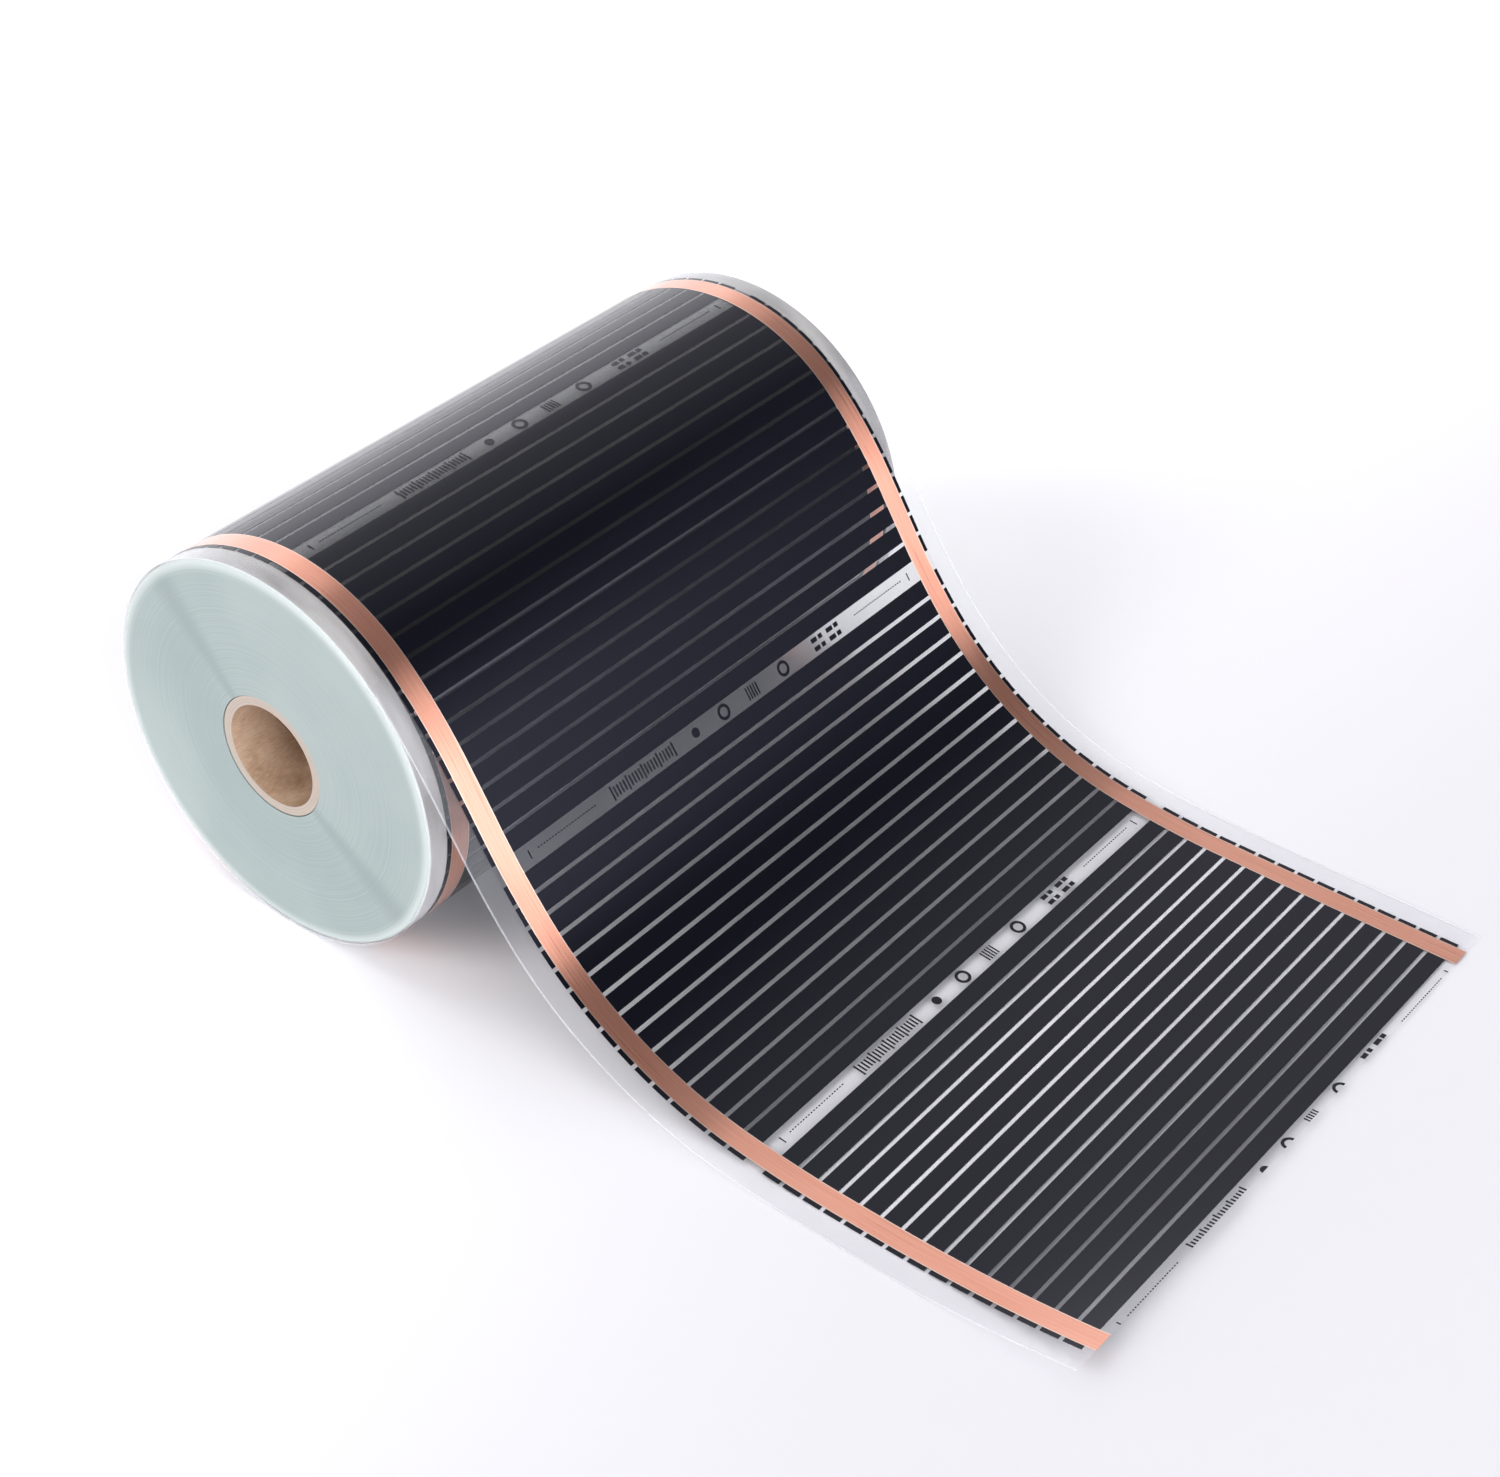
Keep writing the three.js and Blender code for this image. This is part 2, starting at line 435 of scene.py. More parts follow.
def makeCarbonInk():
    # Screen-printed carbon paste under glossy polyester: near black, with a faint mottle, and reflections
    # that waver because the film isn't quite flat.
    material, tree = startMaterial("carbonInkUnderPolyester")
    screenPlace = flatPlace(tree, inkFinish["screen"], inkFinish["screen"])
    mottle = addNode(tree, "TexNoise", {"Vector": screenPlace, "Scale": 1, "Detail": 4})["Fac"]
    tone = addNode(tree, "MapRange", (mottle, *noiseRange))["Result"]
    face = addNode(tree, "Mix", {0: tone, 6: inkFinish["dark"], 7: inkFinish["light"]}, data_type="RGBA")[2]
    roughness = addNode(tree, "MapRange", (mottle, *noiseRange, *inkFinish["roughness"]))["Result"]
    slackPlace = flatPlace(tree, *inkFinish["slackSize"])
    sag = addNode(tree, "TexNoise", {"Vector": slackPlace, "Scale": 1, "Detail": 2})["Fac"]
    relief = addNode(tree, "Bump", {"Height": sag, "Distance": inkFinish["slackHeight"]})["Normal"]
    shader = addNode(tree, "BsdfPrincipled", {
        "Base Color": face, "Roughness": roughness, "IOR": inkFinish["ior"],
        "Specular Tint": inkFinish["gloss"], "Normal": relief})["BSDF"]
    addNode(tree, "OutputMaterial", (shader,))
    return material


def makeStripes():
    pitch = stripes["width"] + stripes["gap"]
    firstSection = -stripes["sectionsBefore"] * film["sectionLength"]
    stripe = flatStrip("carbonStripes", firstSection, firstSection + stripes["width"], -stripeEnd, stripeEnd,
                       stripes["thickness"], stripes["thickness"],
                       stripes["piecesAlong"], stripes["piecesAcross"])
    repeated(stripe, stripes["perSection"], (pitch, 0, 0))
    repeated(stripe, stripes["sectionsBefore"] + film["freeSections"], (film["sectionLength"], 0, 0))
    trimmed(stripe, turnStart + film["startTrim"], cutEnd)
    windOn(stripe)
    nodes = [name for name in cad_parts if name.startswith("carbon_stripe")]
    dress(stripe, "carbon_ink", [makeCarbonInk()], *nodes)


# Copper strips

copper = {"thickness": 0.1 * mm, "stepAlong": 3 * mm, "piecesAcross": 2}

copperFinish = {
    "deep": "#E39B82",
    "pale": "#F0AF98",
    "edge": "#F6DACB",         # a pale line along each edge
    "edgeWidth": 0.7 * mm,
    "roughness": (0.27, 0.34),
    "rollMarks": 0.9 * mm,     # width, length and depth of the marks from the rolls
    "rollMarkLength": 70 * mm,
    "rollMarkDepth": 0.004 * mm,
    "spreadTurn": 0.25,        # of a turn, from along the strip to across it
    "coatIor": 1.57,
    "coatRoughness": 0.05,
}


def makeCopperFoil(inner, outer):
    # Rolled copper foil under polyester: metallic and satin, with fine marks along the strip from the rolls,
    # which spread its reflections across the strip, and a clear gloss over it.
    material, tree = startMaterial("rolledCopperFoil")
    markPlace = flatPlace(tree, copperFinish["rollMarkLength"], copperFinish["rollMarks"])
    rollMarks = addNode(tree, "TexNoise", {"Vector": markPlace, "Scale": 1, "Detail": 3})["Fac"]
    tone = addNode(tree, "MapRange", (rollMarks, *noiseRange))["Result"]
    face = addNode(tree, "Mix", {
        0: tone, 6: copperFinish["deep"], 7: copperFinish["pale"]}, data_type="RGBA")[2]
    place = addNode(tree, "UVMap", uv_map="filmPlace")["UV"]
    across = addNode(tree, "SeparateXYZ", (place,))["Y"]
    fromAxis = addNode(tree, "Math", (across,), operation="ABSOLUTE")["Value"]
    sideways = addNode(tree, "Math", (fromAxis, (inner + outer) / 2), operation="SUBTRACT")["Value"]
    fromMiddle = addNode(tree, "Math", (sideways,), operation="ABSOLUTE")["Value"]
    half = (outer - inner) / 2
    edgeWidth = copperFinish["edgeWidth"]
    edge = addNode(tree, "MapRange", (fromMiddle, half - edgeWidth, half - 0.5 * edgeWidth))["Result"]
    face = addNode(tree, "Mix", {0: edge, 6: face, 7: copperFinish["edge"]}, data_type="RGBA")[2]
    roughness = addNode(tree, "MapRange", (rollMarks, *noiseRange, *copperFinish["roughness"]))["Result"]
    relief = addNode(tree, "Bump", {"Height": rollMarks, "Distance": copperFinish["rollMarkDepth"]})["Normal"]
    alongStrip = addNode(tree, "Tangent", direction_type="UV_MAP", uv_map="filmPlace")["Tangent"]
    shader = addNode(tree, "BsdfPrincipled", {
        "Base Color": face, "Metallic": 1, "Roughness": roughness, "Normal": relief,
        "Anisotropic": 1, "Anisotropic Rotation": copperFinish["spreadTurn"], "Tangent": alongStrip,
        "Coat Weight": 1, "Coat IOR": copperFinish["coatIor"],
        "Coat Roughness": copperFinish["coatRoughness"]})["BSDF"]
    addNode(tree, "OutputMaterial", (shader,))
    return material


def makeCopperStrips():
    low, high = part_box("copper_strip_far")
    material = makeCopperFoil(low.y, high.y)
    pieces = round((cutEnd - turnStart) / copper["stepAlong"])
    for name, node, sign in (
        ("copperStripNear", "copper_strip_near", -1),
        ("copperStripFar", "copper_strip_far", 1),
    ):
        fromY, toY = sorted((sign * low.y, sign * high.y))
        strip = flatStrip(name, turnStart, cutEnd, fromY, toY, stripes["thickness"] + copper["thickness"],
                          copper["thickness"], pieces, copper["piecesAcross"])
        windOn(strip)
        dress(strip, "copper_foil", [material], node)


# Print in the marking bands: plain cut lines, dashes, rings and ticks, the same in every band

marks = {
    "top": 0.08 * mm,          # over the web
    "thickness": 0.04 * mm,
    "cutLineOffset": -0.6 * mm,
    "cutLines": ((-195, -138), (139, 196)),     # along y, in mm
    "dot": (0.9 * mm, 1.5 * mm),
    "dotStep": 2.7 * mm,
    "endBars": (-203, 203),
    "endBar": (6 * mm, 1.1 * mm),
    "ticks": (-123, -61),
    "tick": (10.5 * mm, 1.5 * mm),
    "tickStep": 3.1 * mm,
    "longTickEvery": 5,
    "shortTick": 0.72,         # of a long tick's length
    "dashRows": (-3.4 * mm, 3.0 * mm),
    "dashes": ((91, 97), (99, 103), (108, 115), (116.5, 121)),
    "dashHeight": 3.4 * mm,
    "rings": (57, -8),
    "ringRadius": 5.8 * mm,
    "ringWall": 2.3 * mm,
    "hatched": (23,),
    "hatch": (9.5 * mm, 1.3 * mm),
    "hatchBars": 5,
    "spots": (-38,),
    "spotRadius": 3.6 * mm,
    "spotCorners": 28,
    "stepAlong": 3 * mm,
    "endTrim": 0.1 * mm,       # inside the cut end
}


def bar(middleX, middleY, alongX, alongY):
    pieces = max(1, round(alongX / marks["stepAlong"]))
    return flatStrip("bar", middleX - alongX / 2, middleX + alongX / 2, middleY - alongY / 2,
                     middleY + alongY / 2, marks["top"], marks["thickness"], pieces)


def spot(middleX, middleY, radius, wall=None):
    # a printed disc, or a ring where it has a wall
    freshSelection()
    bpy.ops.mesh.primitive_circle_add(vertices=marks["spotCorners"], radius=radius, fill_type="NGON",
                                      location=(middleX, middleY, marks["top"]))
    disc = bpy.context.object
    bpy.ops.object.transform_apply(location=True, rotation=True, scale=True)
    if wall:
        bpy.ops.object.mode_set(mode="EDIT")
        bpy.ops.mesh.select_all(action="SELECT")
        bpy.ops.mesh.inset(thickness=wall)
        bpy.ops.mesh.delete(type="FACE")
        bpy.ops.object.mode_set(mode="OBJECT")
    addModifier(disc, "SOLIDIFY", thickness=marks["thickness"], offset=-1)
    return disc


def makeBandPrint():
    firstSection = -stripes["sectionsBefore"] * film["sectionLength"]
    middle = firstSection + film["sectionLength"] - film["bandWidth"] / 2
    parts = []
    for low, high in marks["cutLines"]:
        dot = bar(middle + marks["cutLineOffset"], low * mm + marks["dot"][1] / 2, *marks["dot"])
        repeated(dot, round((high - low) * mm / marks["dotStep"]), (0, marks["dotStep"], 0))
        parts.append(dot)
    for place in marks["endBars"]:
        parts.append(bar(middle, place * mm, *marks["endBar"]))
    low, high = marks["ticks"]
    count = round((high - low) * mm / marks["tickStep"]) + 1
    for i in range(count):
        share = 1 if i % marks["longTickEvery"] == 0 else marks["shortTick"]
        place = low * mm + i * marks["tickStep"]
        parts.append(bar(middle, place, share * marks["tick"][0], marks["tick"][1]))
    for row in marks["dashRows"]:
        for low, high in marks["dashes"]:
            parts.append(bar(middle + row, (low + high) / 2 * mm, marks["dashHeight"], (high - low) * mm))
    for place in marks["rings"]:
        parts.append(spot(middle, place * mm, marks["ringRadius"], marks["ringWall"]))
    for place in marks["hatched"]:
        for i in range(marks["hatchBars"]):
            step = (i - (marks["hatchBars"] - 1) / 2) * 2 * marks["hatch"][1]
            parts.append(bar(middle, place * mm + step, *marks["hatch"]))
    for place in marks["spots"]:
        parts.append(spot(middle, place * mm, marks["spotRadius"]))
    bandPrint = joined("bandPrint", parts)
    repeated(bandPrint, stripes["sectionsBefore"] + film["freeSections"], (film["sectionLength"], 0, 0))
    trimmed(bandPrint, turnStart + film["startTrim"], cutEnd - marks["endTrim"])
    windOn(bandPrint)
    dress(bandPrint, "carbon_ink", [bpy.data.materials["carbonInkUnderPolyester"]])


# Wound turns under the outer one

wound = {
    "radius": 143.3 * mm,
    "bore": 45.3 * mm,
    "endGap": 0.3 * mm,        # inside the film's edge, at each end
    "rimRadius": 4 * mm,
    "rimPieces": 6,
    "turnsDrawn": 64,          # of the 290 turns, so that they show
    "turnRelief": 0.05 * mm,
    "windRelief": 0.25 * mm,   # wider steps, where the film wandered as it was wound
    "windWaves": (7 * mm, 19 * mm),
    "sideDepth": 0.4 * mm,     # how deep under the round side its finish reaches
    "steps": 200,
}

woundFinish = {
    "face": "#869392",
    "facePale": "#96A19F",
    "roughness": (0.34, 0.46),
    "ior": 1.5,
    "ring": 1.5 * mm,
    "ringHeight": 0.08 * mm,
    "ringShare": 0.4,          # of the mottle; the rest is clouds
    "cloudsPerMetre": 9,
    # darker sectors round the axis: a painted reflection, the dark arms that the rings would mirror
    "paintedReflection": "#788584",
    "paintedReflectionAngles": (-41, 126),
    "paintedReflectionSpread": 9,         # degrees to each side
    "paintedReflectionShare": 0.55,
    # paler towards the rim: a painted highlight on the rounded outer edge
    "rim": "#BBC3C0",
    "paintedRimHighlightFrom": 133 * mm,
    "sideRoughness": 0.16,
    "margin": "#A9A7A4",
    "marginGrey": "#807D7B",
    "streaksPerMetre": (14, 60, 14),
    "streakRange": (0.35, 0.7),
    "ink": "#060608",
    "inkPast": 1.4 * mm,       # how far the black reaches past the stripes' ends
    "inkFade": 0.2 * mm,
    "wander": 2.4 * mm,        # how far the turns' stripes stray sideways
    "wandersPerMetre": 14,
}


def makeWoundEnds():
    # Hundreds of clear polyester edges packed together: pale aqua and satin, with a faint line for each turn,
    # two darker streaks painted in as the rings' reflection, and a paler rim painted in as a highlight on its
    # rounded edge.
    material, tree = startMaterial("woundPolyesterEdges")
    roll = rollPlace(tree)
    ringPlace = addNode(tree, "Math", (roll["radius"], woundFinish["ring"]), operation="DIVIDE")["Value"]
    turns = addNode(tree, "TexNoise", {"W": ringPlace, "Scale": 1, "Detail": 4}, noise_dimensions="1D")["Fac"]
    clouds = addNode(tree, "TexNoise", {
        "Vector": roll["place"], "Scale": woundFinish["cloudsPerMetre"], "Detail": 2})["Fac"]
    ringShare = woundFinish["ringShare"]
    cloudPart = addNode(tree, "Math", (clouds, 1 - ringShare), operation="MULTIPLY")["Value"]
    mottle = addNode(tree, "Math", (turns, ringShare, cloudPart), operation="MULTIPLY_ADD")["Value"]
    tone = addNode(tree, "MapRange", (mottle, *mixedRange))["Result"]
    face = addNode(tree, "Mix", {
        0: tone, 6: woundFinish["face"], 7: woundFinish["facePale"]}, data_type="RGBA")[2]
    # painted reflection: two narrow darker sectors, where the rings would mirror dark
    spread = math.radians(woundFinish["paintedReflectionSpread"])
    for degrees in woundFinish["paintedReflectionAngles"]:
        turned = addNode(tree, "Math", (roll["angle"], math.radians(degrees)), operation="SUBTRACT")["Value"]
        apart = addNode(tree, "Math", (turned,), operation="ABSOLUTE")["Value"]
        paintedReflection = addNode(tree, "MapRange", (apart, 0, spread, woundFinish["paintedReflectionShare"], 0),
                         interpolation_type="SMOOTHSTEP")["Result"]
        face = addNode(tree, "Mix", {0: paintedReflection, 6: face, 7: woundFinish["paintedReflection"]}, data_type="RGBA")[2]
    # painted highlight: paler towards the rounded outer edge
    rim = addNode(tree, "MapRange", (roll["radius"], woundFinish["paintedRimHighlightFrom"], wound["radius"]),
                  interpolation_type="SMOOTHSTEP")["Result"]
    face = addNode(tree, "Mix", {0: rim, 6: face, 7: woundFinish["rim"]}, data_type="RGBA")[2]
    roughness = addNode(tree, "MapRange", (turns, *noiseRange, *woundFinish["roughness"]))["Result"]
    relief = addNode(tree, "Bump", {"Height": turns, "Distance": woundFinish["ringHeight"]})["Normal"]
    shader = addNode(tree, "BsdfPrincipled", {
        "Base Color": face, "Roughness": roughness, "IOR": woundFinish["ior"], "Normal": relief})["BSDF"]
    addNode(tree, "OutputMaterial", (shader,))
    return material


def makeWoundSide():
    # The turn below, seen through the outer one: milky where only clear margins lie on each other, and
    # black as far as the stripes reach.
    material, tree = startMaterial("woundPolyesterMargins")
    roll = rollPlace(tree)
    drift = addNode(tree, "TexNoise", {
        "Vector": roll["place"], "Scale": woundFinish["wandersPerMetre"], "Detail": 2})["Fac"]
    fromMiddle = addNode(tree, "Math", (roll["along"],), operation="ABSOLUTE")["Value"]
    wander = addNode(tree, "Math", (drift, woundFinish["wander"], fromMiddle),
                     operation="MULTIPLY_ADD")["Value"]
    inkEdge = stripeEnd + woundFinish["inkPast"]
    fade = woundFinish["inkFade"]
    clear = addNode(tree, "MapRange", (wander, inkEdge - fade, inkEdge + fade))["Result"]
    smear = addNode(tree, "Mapping", {
        "Vector": roll["place"], "Scale": woundFinish["streaksPerMetre"]})["Vector"]
    streaks = addNode(tree, "TexNoise", {"Vector": smear, "Scale": 1, "Detail": 3})["Fac"]
    tone = addNode(tree, "MapRange", (streaks, *woundFinish["streakRange"]))["Result"]
    margin = addNode(tree, "Mix", {
        0: tone, 6: woundFinish["margin"], 7: woundFinish["marginGrey"]}, data_type="RGBA")[2]
    face = addNode(tree, "Mix", {0: clear, 6: woundFinish["ink"], 7: margin}, data_type="RGBA")[2]
    shader = addNode(tree, "BsdfPrincipled", {
        "Base Color": face, "Roughness": woundFinish["sideRoughness"], "IOR": woundFinish["ior"]})["BSDF"]
    addNode(tree, "OutputMaterial", (shader,))
    return material


tolerance = 0.01 * mm          # for finding corners and edges by their place
spunCrease = 35                # degrees up to which a spun piece is shaded smooth


def spun(name, inner, outer, halfLength, rim, rimPieces, rings, reliefOf, steps):
    # a wall's section, its outer corners rounded and its ends divided into rings, spun round the roll's axis
    freshSelection()
    bpy.ops.mesh.primitive_plane_add(size=1, rotation=(0, math.pi / 2, 0))
    piece = bpy.context.object
    piece.name = name
    bpy.ops.object.transform_apply(location=True, rotation=True, scale=True)
    bpy.ops.object.mode_set(mode="EDIT")
    bpy.ops.mesh.select_all(action="SELECT")
    bpy.ops.transform.resize(value=(1, 2 * halfLength, outer - inner))
    bpy.ops.transform.translate(value=(rollCentre.x, 0, rollCentre.z + (inner + outer) / 2))
    top = rollCentre.z + outer - tolerance
    selectWhere(piece, "VERT", lambda p: p.z > top)
    bpy.ops.mesh.bevel(offset=rim, segments=rimPieces, affect="VERTICES")
    bpy.ops.mesh.select_all(action="SELECT")
    bpy.ops.mesh.delete(type="ONLY_FACE")
    selectWhere(piece, "EDGE", lambda p: abs(p.y) > halfLength - tolerance)
    bpy.ops.mesh.subdivide(number_cuts=rings)
    bpy.ops.object.mode_set(mode="OBJECT")
    low = rollCentre.z + inner + tolerance
    high = rollCentre.z + outer - rim - tolerance
    ends = [v for v in piece.data.vertices if abs(v.co.y) > halfLength - tolerance and low < v.co.z < high]
    for vertex in sorted(ends, key=lambda v: (v.co.y > 0, v.co.z)):
        vertex.co.y -= math.copysign(reliefOf(vertex.co.z - rollCentre.z), vertex.co.y)
    bpy.ops.object.mode_set(mode="EDIT")
    bpy.ops.mesh.select_all(action="SELECT")
    bpy.ops.mesh.spin(steps=steps, angle=2 * math.pi, center=rollCentre, axis=(0, 1, 0))
    bpy.ops.mesh.select_all(action="SELECT")
    bpy.ops.mesh.remove_doubles(threshold=tolerance)
    bpy.ops.mesh.normals_make_consistent(inside=False)
    bpy.ops.object.mode_set(mode="OBJECT")
    bpy.ops.object.shade_smooth_by_angle(angle=math.radians(spunCrease))
    return piece


def makeWoundTurns():
    def reliefOf(radius):
        short, long = wound["windWaves"]
        wide = 0.5 + 0.5 * math.sin(radius / short) * math.sin(radius / long + 1)
        return wound["windRelief"] * wide + dice.uniform(0, wound["turnRelief"])

    piece = spun("woundTurns", wound["bore"], wound["radius"], halfWidth - wound["endGap"],
                 wound["rimRadius"], wound["rimPieces"], wound["turnsDrawn"], reliefOf, wound["steps"])
    dress(piece, "clear_film", [makeWoundEnds(), makeWoundSide()], "heating_film")
    for face in piece.data.polygons:
        toFace = Vector((face.center.x - rollCentre.x, 0, face.center.z - rollCentre.z)).length
        face.material_index = 1 if toFace > wound["radius"] - wound["sideDepth"] else 0


# Cardboard core

core = {
    "rim": 0.6 * mm,
    "rimPieces": 3,
    "plies": 9,
    "plyRelief": 0.12 * mm,
    "steps": 128,
}

kraftFinish = {
    "inside": "#C2A78E",
    "insideDark": "#9B7D64",
    "roughness": 0.88,
    "specular": 0.3,
    "seam": "#6B4C35",
    "seamShare": 0.6,
    "seamPitch": 95 * mm,      # the strip's lead along the tube
    "seamWidth": 0.6 * mm,
    "fibre": (0.5 * mm, 5 * mm),
    "fibreShare": 0.45,        # of the mottle; the rest is blotches
    "fibreHeight": 0.15 * mm,
    "blotchesPerMetre": 38,
    "end": "#B4A99F",
    "endDark": "#94857A",
    "endFade": (0.8 * mm, 0.3 * mm),   # inside the core's end, where its sawn face begins to show and is full
    "ply": 0.5 * mm,
    "plyRange": (0.4, 0.75),
}


def makeKraft():
    # Spiral-wound kraft board: matt and fibrous, with the strip's seam running round inside, and plies that
    # show as rings on the sawn ends.
    material, tree = startMaterial("spiralKraftBoard")
    roll = rollPlace(tree)
    turnsRound = addNode(tree, "Math", (roll["angle"], 2 * math.pi), operation="DIVIDE")["Value"]
    pitch = kraftFinish["seamPitch"]
    stripsAlong = addNode(tree, "Math", (roll["along"], pitch), operation="DIVIDE")["Value"]
    lead = addNode(tree, "Math", (stripsAlong, turnsRound), operation="ADD")["Value"]
    positive = addNode(tree, "Math", (lead, 20), operation="ADD")["Value"]
    inStrip = addNode(tree, "Math", (positive,), operation="FRACT")["Value"]
    sideways = addNode(tree, "Math", (inStrip, 0.5), operation="SUBTRACT")["Value"]
    fromSeam = addNode(tree, "Math", (sideways,), operation="ABSOLUTE")["Value"]
    seam = addNode(tree, "MapRange", (fromSeam, 0, kraftFinish["seamWidth"] / pitch, 1, 0))["Result"]
    seam = addNode(tree, "Math", (seam, kraftFinish["seamShare"]), operation="MULTIPLY")["Value"]
    fine, long = kraftFinish["fibre"]
    fibrePlace = addNode(tree, "Mapping", {
        "Vector": roll["place"], "Scale": (1 / fine, 1 / long, 1 / fine)})["Vector"]
    fibres = addNode(tree, "TexNoise", {"Vector": fibrePlace, "Scale": 1, "Detail": 4})["Fac"]
    blotches = addNode(tree, "TexNoise", {
        "Vector": roll["place"], "Scale": kraftFinish["blotchesPerMetre"], "Detail": 3})["Fac"]
    fibreShare = kraftFinish["fibreShare"]
    blotchPart = addNode(tree, "Math", (blotches, 1 - fibreShare), operation="MULTIPLY")["Value"]
    mottle = addNode(tree, "Math", (fibres, fibreShare, blotchPart), operation="MULTIPLY_ADD")["Value"]
    tone = addNode(tree, "MapRange", (mottle, *mixedRange))["Result"]
    wall = addNode(tree, "Mix", {
        0: tone, 6: kraftFinish["insideDark"], 7: kraftFinish["inside"]}, data_type="RGBA")[2]
    wall = addNode(tree, "Mix", {0: seam, 6: wall, 7: kraftFinish["seam"]}, data_type="RGBA")[2]
    plyPlace = addNode(tree, "Math", (roll["radius"], kraftFinish["ply"]), operation="DIVIDE")["Value"]
    plies = addNode(tree, "TexNoise", {"W": plyPlace, "Scale": 1, "Detail": 2}, noise_dimensions="1D")["Fac"]
    plyTone = addNode(tree, "MapRange", (plies, *kraftFinish["plyRange"]))["Result"]
    end = addNode(tree, "Mix", {
        0: plyTone, 6: kraftFinish["end"], 7: kraftFinish["endDark"]}, data_type="RGBA")[2]
    begins, full = kraftFinish["endFade"]
    fromMiddle = addNode(tree, "Math", (roll["along"],), operation="ABSOLUTE")["Value"]
    atEnd = addNode(tree, "MapRange", (fromMiddle, coreHigh.y - begins, coreHigh.y - full))["Result"]
    face = addNode(tree, "Mix", {0: atEnd, 6: wall, 7: end}, data_type="RGBA")[2]
    relief = addNode(tree, "Bump", {"Height": mottle, "Distance": kraftFinish["fibreHeight"]})["Normal"]
    shader = addNode(tree, "BsdfPrincipled", {
        "Base Color": face, "Roughness": kraftFinish["roughness"],
        "Specular IOR Level": kraftFinish["specular"], "Normal": relief})["BSDF"]
    addNode(tree, "OutputMaterial", (shader,))
    return material


def makeCore():
    outer = (coreHigh.z - coreLow.z) / 2
    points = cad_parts["core_tube"].data.vertices
    inner = min(math.hypot(v.co.x - rollCentre.x, v.co.z - rollCentre.z) for v in points)
    piece = spun("coreTube", inner, outer, coreHigh.y, core["rim"], core["rimPieces"], core["plies"],
                 lambda radius: dice.uniform(0, core["plyRelief"]), core["steps"])
    dress(piece, "kraft_core", [makeKraft()], "core_tube")


# Floor, light and camera

studio = {
    "floor": "#D7D6DA",
    "floorPale": "#FAFAFC",
    "paintedFloorShade": (-0.5, 0.4),  # along x, where the painted shade begins and is full, from pale to a little greyer
    "floorRoughness": 0.6,
    "floorSpecular": 0.2,
    "floorSize": 14,
    "back": 0.055,             # the room behind the roll, which its black film mirrors
    "front": (0.45, 0.15),     # how far round, along y, the brighter front of the room begins and is full
    "wall": 1.0,
    "ceiling": 0.62,
    "wallTop": (0.30, 0.46),   # sine of the elevation where the bright wall fades into the ceiling
    "leftBox": (-0.80, 0.55, 0.25),
    "leftSpread": (0.20, 0.90),
    "leftSpreadLight": 0.56,
    "leftCore": (0.84, 0.97),
    "leftCoreLight": 0.85,
    "leftColour": "#F8F7FA",
    "rightBox": (0.93, 0.25, 0.27),
    "rightSpread": (0.65, 1.0),
    "rightPower": 6.0,
    "rightLight": 1.6,
    "rightTone": 0.06,
    "rightColour": "#EEF2FF",
    "rightLine": (0.146, 0.583, -0.80),    # the edge of what the right side lights, as a plane
    "rightEdge": (-0.08, 0.03),
    "rightFade": (0, 0.3),                 # along x, where the right side begins and is full
    "rightLamp": (0.93, -0.22, 0.29),      # too far round for the film to mirror, but not for the copper
    "rightLampEdge": (0.88, 0.92),
    "rightLampLight": 5.4,
    "topLamp": (-0.45, 0.05, 0.89),        # likewise only for the copper
    "topLampEdge": (0.90, 0.96),
    "topLampLight": 1.2,
}


def makeFloor():
    # A matt studio floor, white on the left and a little greyer to the right: painted shade, as if the light
    # fell off to the right.
    freshSelection()
    bpy.ops.mesh.primitive_plane_add(size=studio["floorSize"])
    floor = bpy.context.object
    floor.name = "floor"
    material, tree = startMaterial("paleFloor")
    place = addNode(tree, "TexCoord")["Object"]
    along = addNode(tree, "SeparateXYZ", (place,))["X"]
    # painted shade: the floor's colour greys along x
    shade = addNode(tree, "MapRange", (along, *studio["paintedFloorShade"]),
                    interpolation_type="SMOOTHSTEP")["Result"]
    face = addNode(tree, "Mix", {0: shade, 6: studio["floorPale"], 7: studio["floor"]}, data_type="RGBA")[2]
    shader = addNode(tree, "BsdfPrincipled", {
        "Base Color": face, "Roughness": studio["floorRoughness"],
        "Specular IOR Level": studio["floorSpecular"]})["BSDF"]
    addNode(tree, "OutputMaterial", (shader,))
    floor.data.materials.append(material)


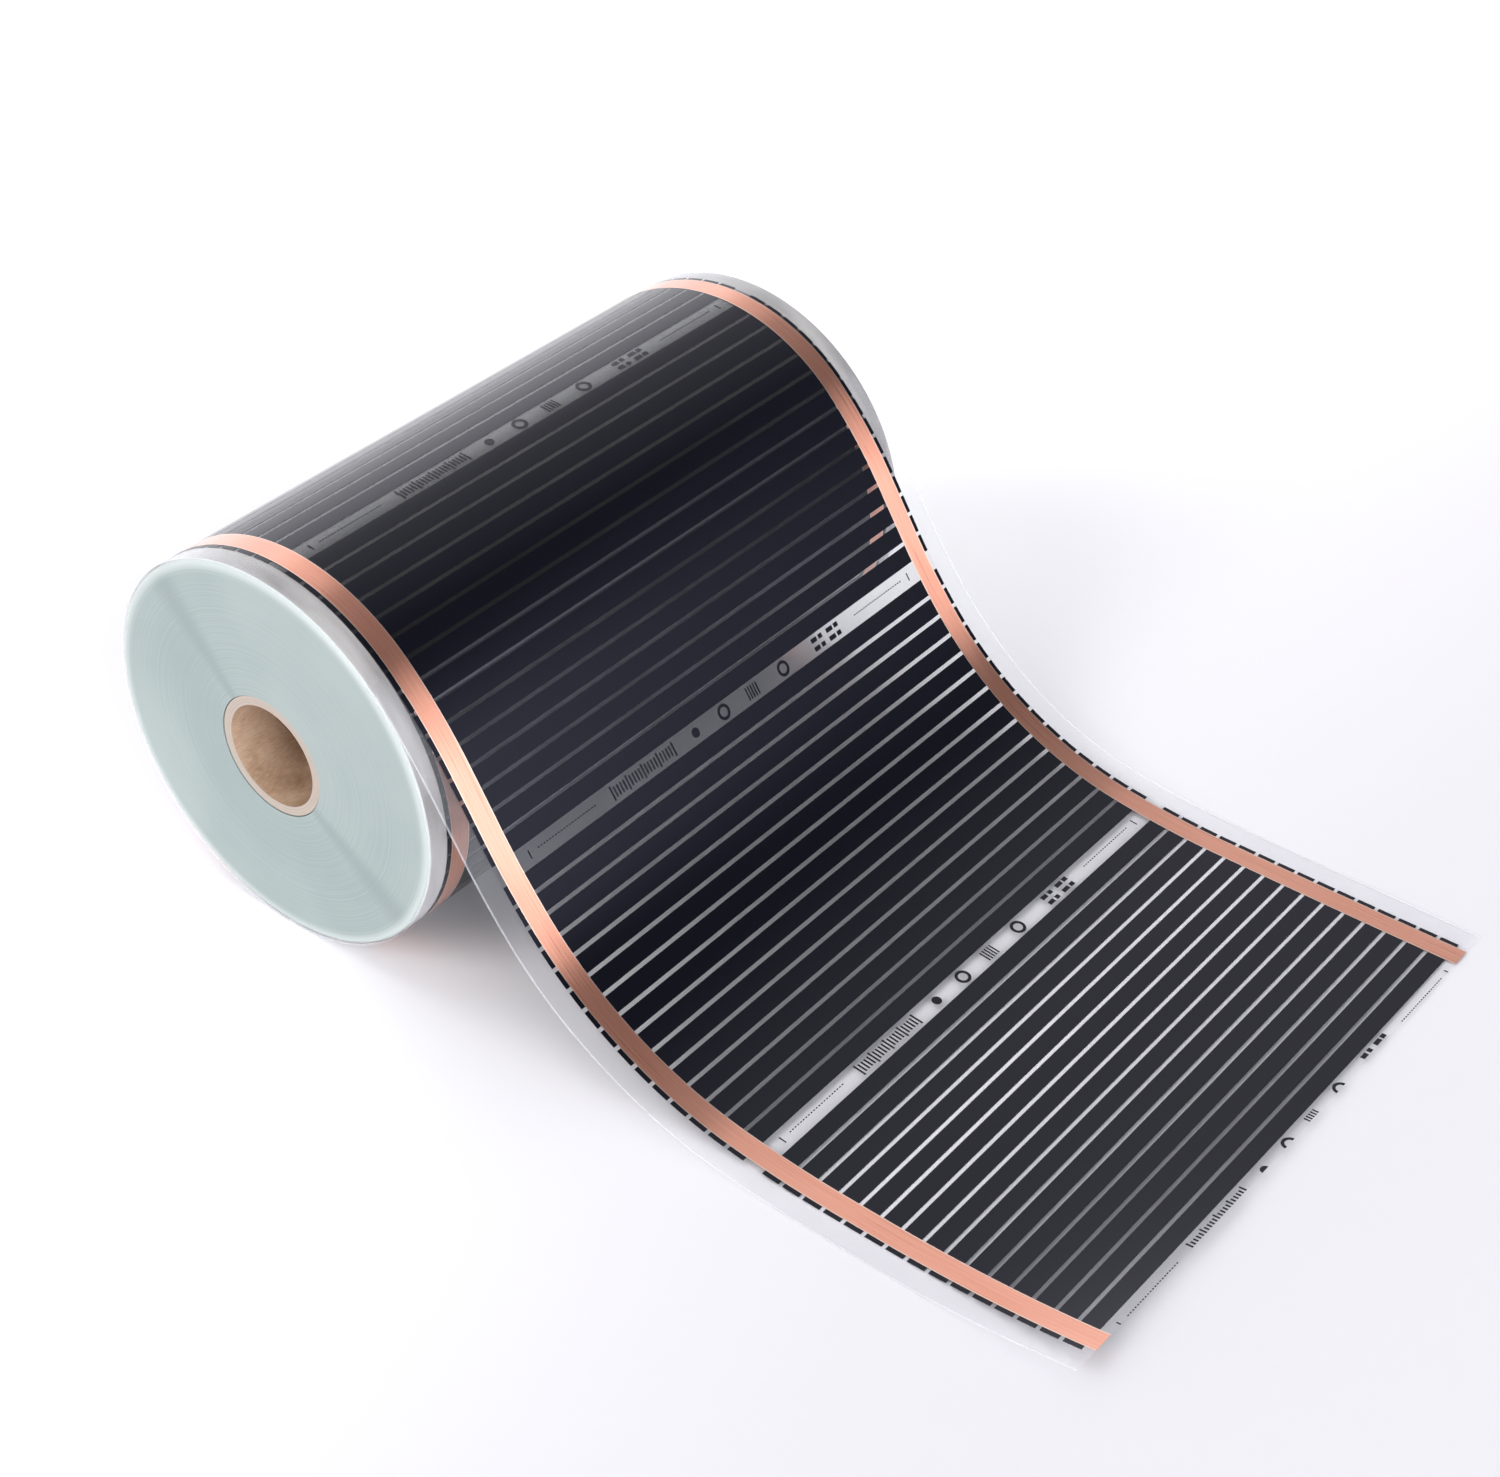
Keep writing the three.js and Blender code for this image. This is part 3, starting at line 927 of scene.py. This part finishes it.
def makeWorld():
    # A white room that is brighter in front of the part than behind it, with a large soft light at the back
    # left, a glow at the right that ends in a slanting edge, and two lamps that only the satin copper shows.
    world = bpy.data.worlds.new("studio")
    bpy.context.scene.world = world
    world.use_nodes = True
    tree = world.node_tree
    tree.nodes.clear()
    direction = addNode(tree, "TexCoord")["Generated"]
    axes = addNode(tree, "SeparateXYZ", (direction,))
    towards = {}
    for name in ("leftBox", "rightBox", "rightLine", "rightLamp", "topLamp"):
        way = Vector(studio[name]).normalized()
        towards[name] = addNode(tree, "VectorMath", (direction, way), operation="DOT_PRODUCT")["Value"]

    wall = addNode(tree, "MapRange", (axes["Z"], *studio["wallTop"], studio["wall"], studio["ceiling"]),
                   interpolation_type="SMOOTHSTEP")["Result"]
    inFront = addNode(tree, "MapRange", (axes["Y"], *studio["front"]),
                      interpolation_type="SMOOTHSTEP")["Result"]
    front = addNode(tree, "Math", (wall, inFront), operation="MULTIPLY")["Value"]
    leftEnd = studio["back"] + studio["leftSpreadLight"]
    leftSpread = addNode(tree, "MapRange", (
        towards["leftBox"], *studio["leftSpread"], studio["back"], leftEnd))["Result"]
    leftCore = addNode(tree, "MapRange", (
        towards["leftBox"], *studio["leftCore"], 0, studio["leftCoreLight"],
    ), interpolation_type="SMOOTHSTEP")["Result"]
    left = addNode(tree, "Math", (leftSpread, leftCore), operation="ADD")["Value"]
    light = addNode(tree, "Math", (left, front), operation="ADD")["Value"]

    rightSpread = addNode(tree, "MapRange", (towards["rightBox"], *studio["rightSpread"]))["Result"]
    rightBox = addNode(tree, "Math", (rightSpread, studio["rightPower"]), operation="POWER")["Value"]
    glow = addNode(tree, "Math", (rightBox, studio["rightLight"], studio["rightTone"]),
                   operation="MULTIPLY_ADD")["Value"]
    pastLine = addNode(tree, "MapRange", (towards["rightLine"], *studio["rightEdge"]),
                       interpolation_type="SMOOTHSTEP")["Result"]
    onRight = addNode(tree, "MapRange", (axes["X"], *studio["rightFade"]),
                      interpolation_type="SMOOTHSTEP")["Result"]
    lit = addNode(tree, "Math", (pastLine, onRight), operation="MULTIPLY")["Value"]
    glow = addNode(tree, "Math", (glow, lit), operation="MULTIPLY")["Value"]
    for name in ("rightLamp", "topLamp"):
        lamp = addNode(tree, "MapRange", (towards[name], *studio[name + "Edge"], 0, studio[name + "Light"]),
                       interpolation_type="SMOOTHSTEP")["Result"]
        glow = addNode(tree, "Math", (glow, lamp), operation="ADD")["Value"]

    tint = addNode(tree, "Mix", {
        0: lit, 6: studio["leftColour"], 7: studio["rightColour"]}, data_type="RGBA")[2]
    strength = addNode(tree, "Math", (light, glow), operation="ADD")["Value"]
    backdrop = addNode(tree, "Background", {"Color": tint, "Strength": strength})["Background"]
    addNode(tree, "OutputWorld", (backdrop,))


keyLight = {"from": (-0.28, -0.80, 0.48), "strength": 1.6, "softness": 34}


def makeKeyLight():
    # one broad soft light from the front; in reflections the world stands in for it
    data = bpy.data.lights.new("key", "SUN")
    data.energy = keyLight["strength"]
    data.angle = math.radians(keyLight["softness"])
    lamp = bpy.data.objects.new("key", data)
    lamp.rotation_euler = (-Vector(keyLight["from"])).to_track_quat("-Z", "Y").to_euler()
    lamp.visible_glossy = False
    bpy.context.scene.collection.objects.link(lamp)


camera = {
    "place": (0.89676, -1.17727, 1.26036),
    "aim": (-0.04758, 0.00103, 0.10720),
    "tilt": 0.211,             # degrees round the line of sight
    "lens": 66.72,
    "sensor": 36,
}


def makeCamera():
    data = bpy.data.cameras.new("camera")
    data.lens = camera["lens"]
    data.sensor_width = camera["sensor"]
    seer = bpy.data.objects.new("camera", data)
    seer.location = camera["place"]
    towards = (Vector(camera["aim"]) - Vector(camera["place"])).to_track_quat("-Z", "Y")
    seer.rotation_mode = "QUATERNION"
    seer.rotation_quaternion = towards @ Quaternion((0, 0, 1), math.radians(camera["tilt"]))
    bpy.context.scene.collection.objects.link(seer)
    bpy.context.scene.camera = seer
    bpy.context.scene.view_settings.view_transform = "Standard"


makeCamera()
makeWorld()
makeKeyLight()
makeFloor()
print("studio ready")
makeCore()
makeWoundTurns()
print("core and wound turns ready")
makeWeb()
makeStripes()
makeCopperStrips()
print("film, stripes and copper ready")
makeBandPrint()
print("band print ready")
bpy.data.objects.remove(filmPath)
